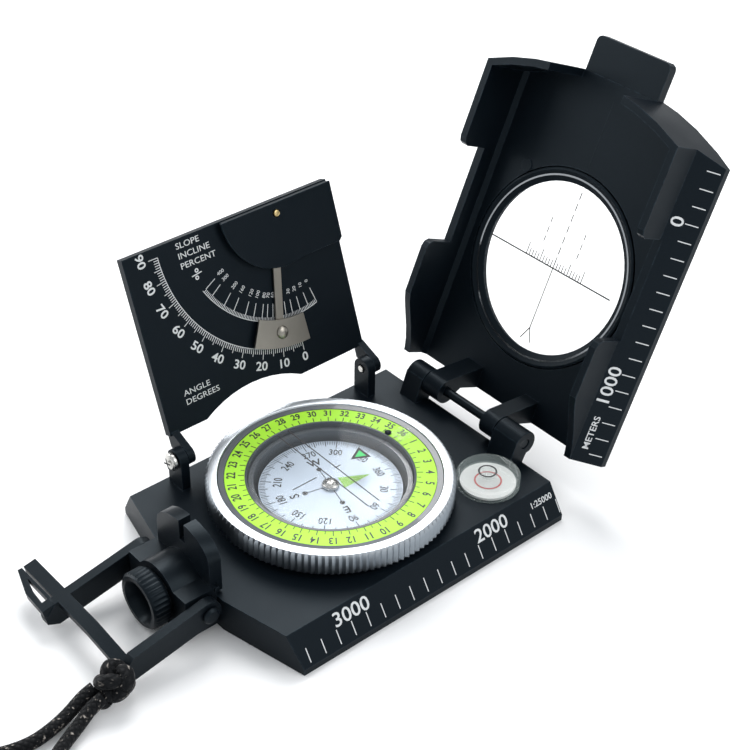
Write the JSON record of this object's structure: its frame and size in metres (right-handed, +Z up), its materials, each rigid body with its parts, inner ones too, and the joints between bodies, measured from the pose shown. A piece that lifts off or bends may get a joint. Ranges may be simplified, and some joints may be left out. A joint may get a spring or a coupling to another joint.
{
  "type": "sighting compass",
  "caption": "Folding sighting compass: turning bezel over a floating card, ruled base, windowed lid, clinometer leaf, sight eyepiece, thumb loop and neck lanyard.",
  "frame": {"origin": "on the flat underside, directly below the axis of the turning bezel", "axes": "+X towards the ruler side, +Y the sighting direction from the eyepiece to the lid hinge, +Z up"},
  "size_m": [0.0854, 0.2268, 0.0894],
  "materials": {
    "black_paint": "satin bluish-black paint, lighter where worn",
    "steel": "bright plated steel",
    "satin_aluminium": "satin natural aluminium",
    "clear_acrylic": "clear, polished",
    "brass": "polished brass",
    "green_dial": "lime green with black numerals",
    "silver_card": "pale silver card printed in black",
    "grey_capsule": "grey moulded",
    "white_seat": "white with a red ring",
    "braided_nylon": "black braided cord with light flecks"
  },
  "bodies": {
    "base": {"base_housing": "black_paint", "bottom_cover": "black_paint", "cover_screw_1": "steel", "cover_screw_2": "steel", "cover_screw_3": "steel", "cover_screw_4": "steel", "lid_hinge_pin": "steel", "leaf_hinge_screw": "steel", "leaf_hinge_pin": "steel", "capsule_bowl": "grey_capsule", "pivot_needle": "steel", "level_seat": "white_seat", "level_vial": "clear_acrylic", "eyepiece_block": "black_paint", "eyepiece_pin": "steel", "loop_screw_left": "steel", "loop_screw_right": "steel", "lanyard_strand_left": "braided_nylon", "lanyard_strand_right": "braided_nylon", "lanyard_hank": "braided_nylon"},
    "bezel": {"bezel_ring": "satin_aluminium", "graduated_ring": "green_dial", "bezel_crystal": "clear_acrylic", "index_lens": "clear_acrylic"},
    "card": {"compass_card": "silver_card", "card_magnet": "steel", "jewel_cap": "satin_aluminium"},
    "lid": {"lid_shell": "black_paint", "lid_window": "clear_acrylic", "window_ring": "black_paint"},
    "leaf": {"clinometer_leaf": "black_paint", "pendulum_cover": "black_paint", "pendulum_pivot": "brass"},
    "pendulum": {"pendulum_arm": "steel", "pendulum_weight": "steel", "weight_rivet": "steel"},
    "focus": {"focus_ring": "black_paint"},
    "lens_cell": {"eyepiece_tube": "black_paint", "eyepiece_lens": "clear_acrylic"},
    "loop": {"thumb_loop": "black_paint", "lanyard_knot": "braided_nylon"}
  },
  "joints": [
    {"name": "lid_hinge", "type": "hinge", "parent": "base", "child": "lid", "pos_m": [0, 0.0418, 0.0128], "axis": [1, 0, 0], "range_deg": [-66, 25]},
    {"name": "bezel_turn", "type": "hinge", "parent": "base", "child": "bezel", "pos_m": [0, 0, 0.0128], "axis": [0, 0, 1], "continuous": true},
    {"name": "card_float", "type": "hinge", "parent": "base", "child": "card", "pos_m": [0, 0, 0.0104], "axis": [0, 0, 1], "continuous": true},
    {"name": "leaf_fold", "type": "hinge", "parent": "base", "child": "leaf", "pos_m": [-0.0244, 0.005, 0.0156], "axis": [0, 1, 0], "range_deg": [0, 110]},
    {"name": "pendulum_swing", "type": "hinge", "parent": "leaf", "child": "pendulum", "pos_m": [-0.04106, 0.0172, 0.05551], "axis": [0.9397, 0, 0.342], "range_deg": [-75, 42]},
    {"name": "focus_turn", "type": "hinge", "parent": "base", "child": "focus", "pos_m": [0, -0.0492, 0.0072], "axis": [0, 1, 0], "range_deg": [-150, 150]},
    {"name": "lens_focus", "type": "slide", "parent": "base", "child": "lens_cell", "axis": [0, 1, 0], "range_m": [-0.00069, 0.00069]},
    {"name": "loop_fold", "type": "hinge", "parent": "base", "child": "loop", "pos_m": [0, -0.0425, 0.008], "axis": [1, 0, 0], "range_deg": [-105, 0]}
  ],
  "couplings": [
    {"joint": "focus_turn", "follows": "lens_focus", "rad_per_m": 3773.6}
  ]
}
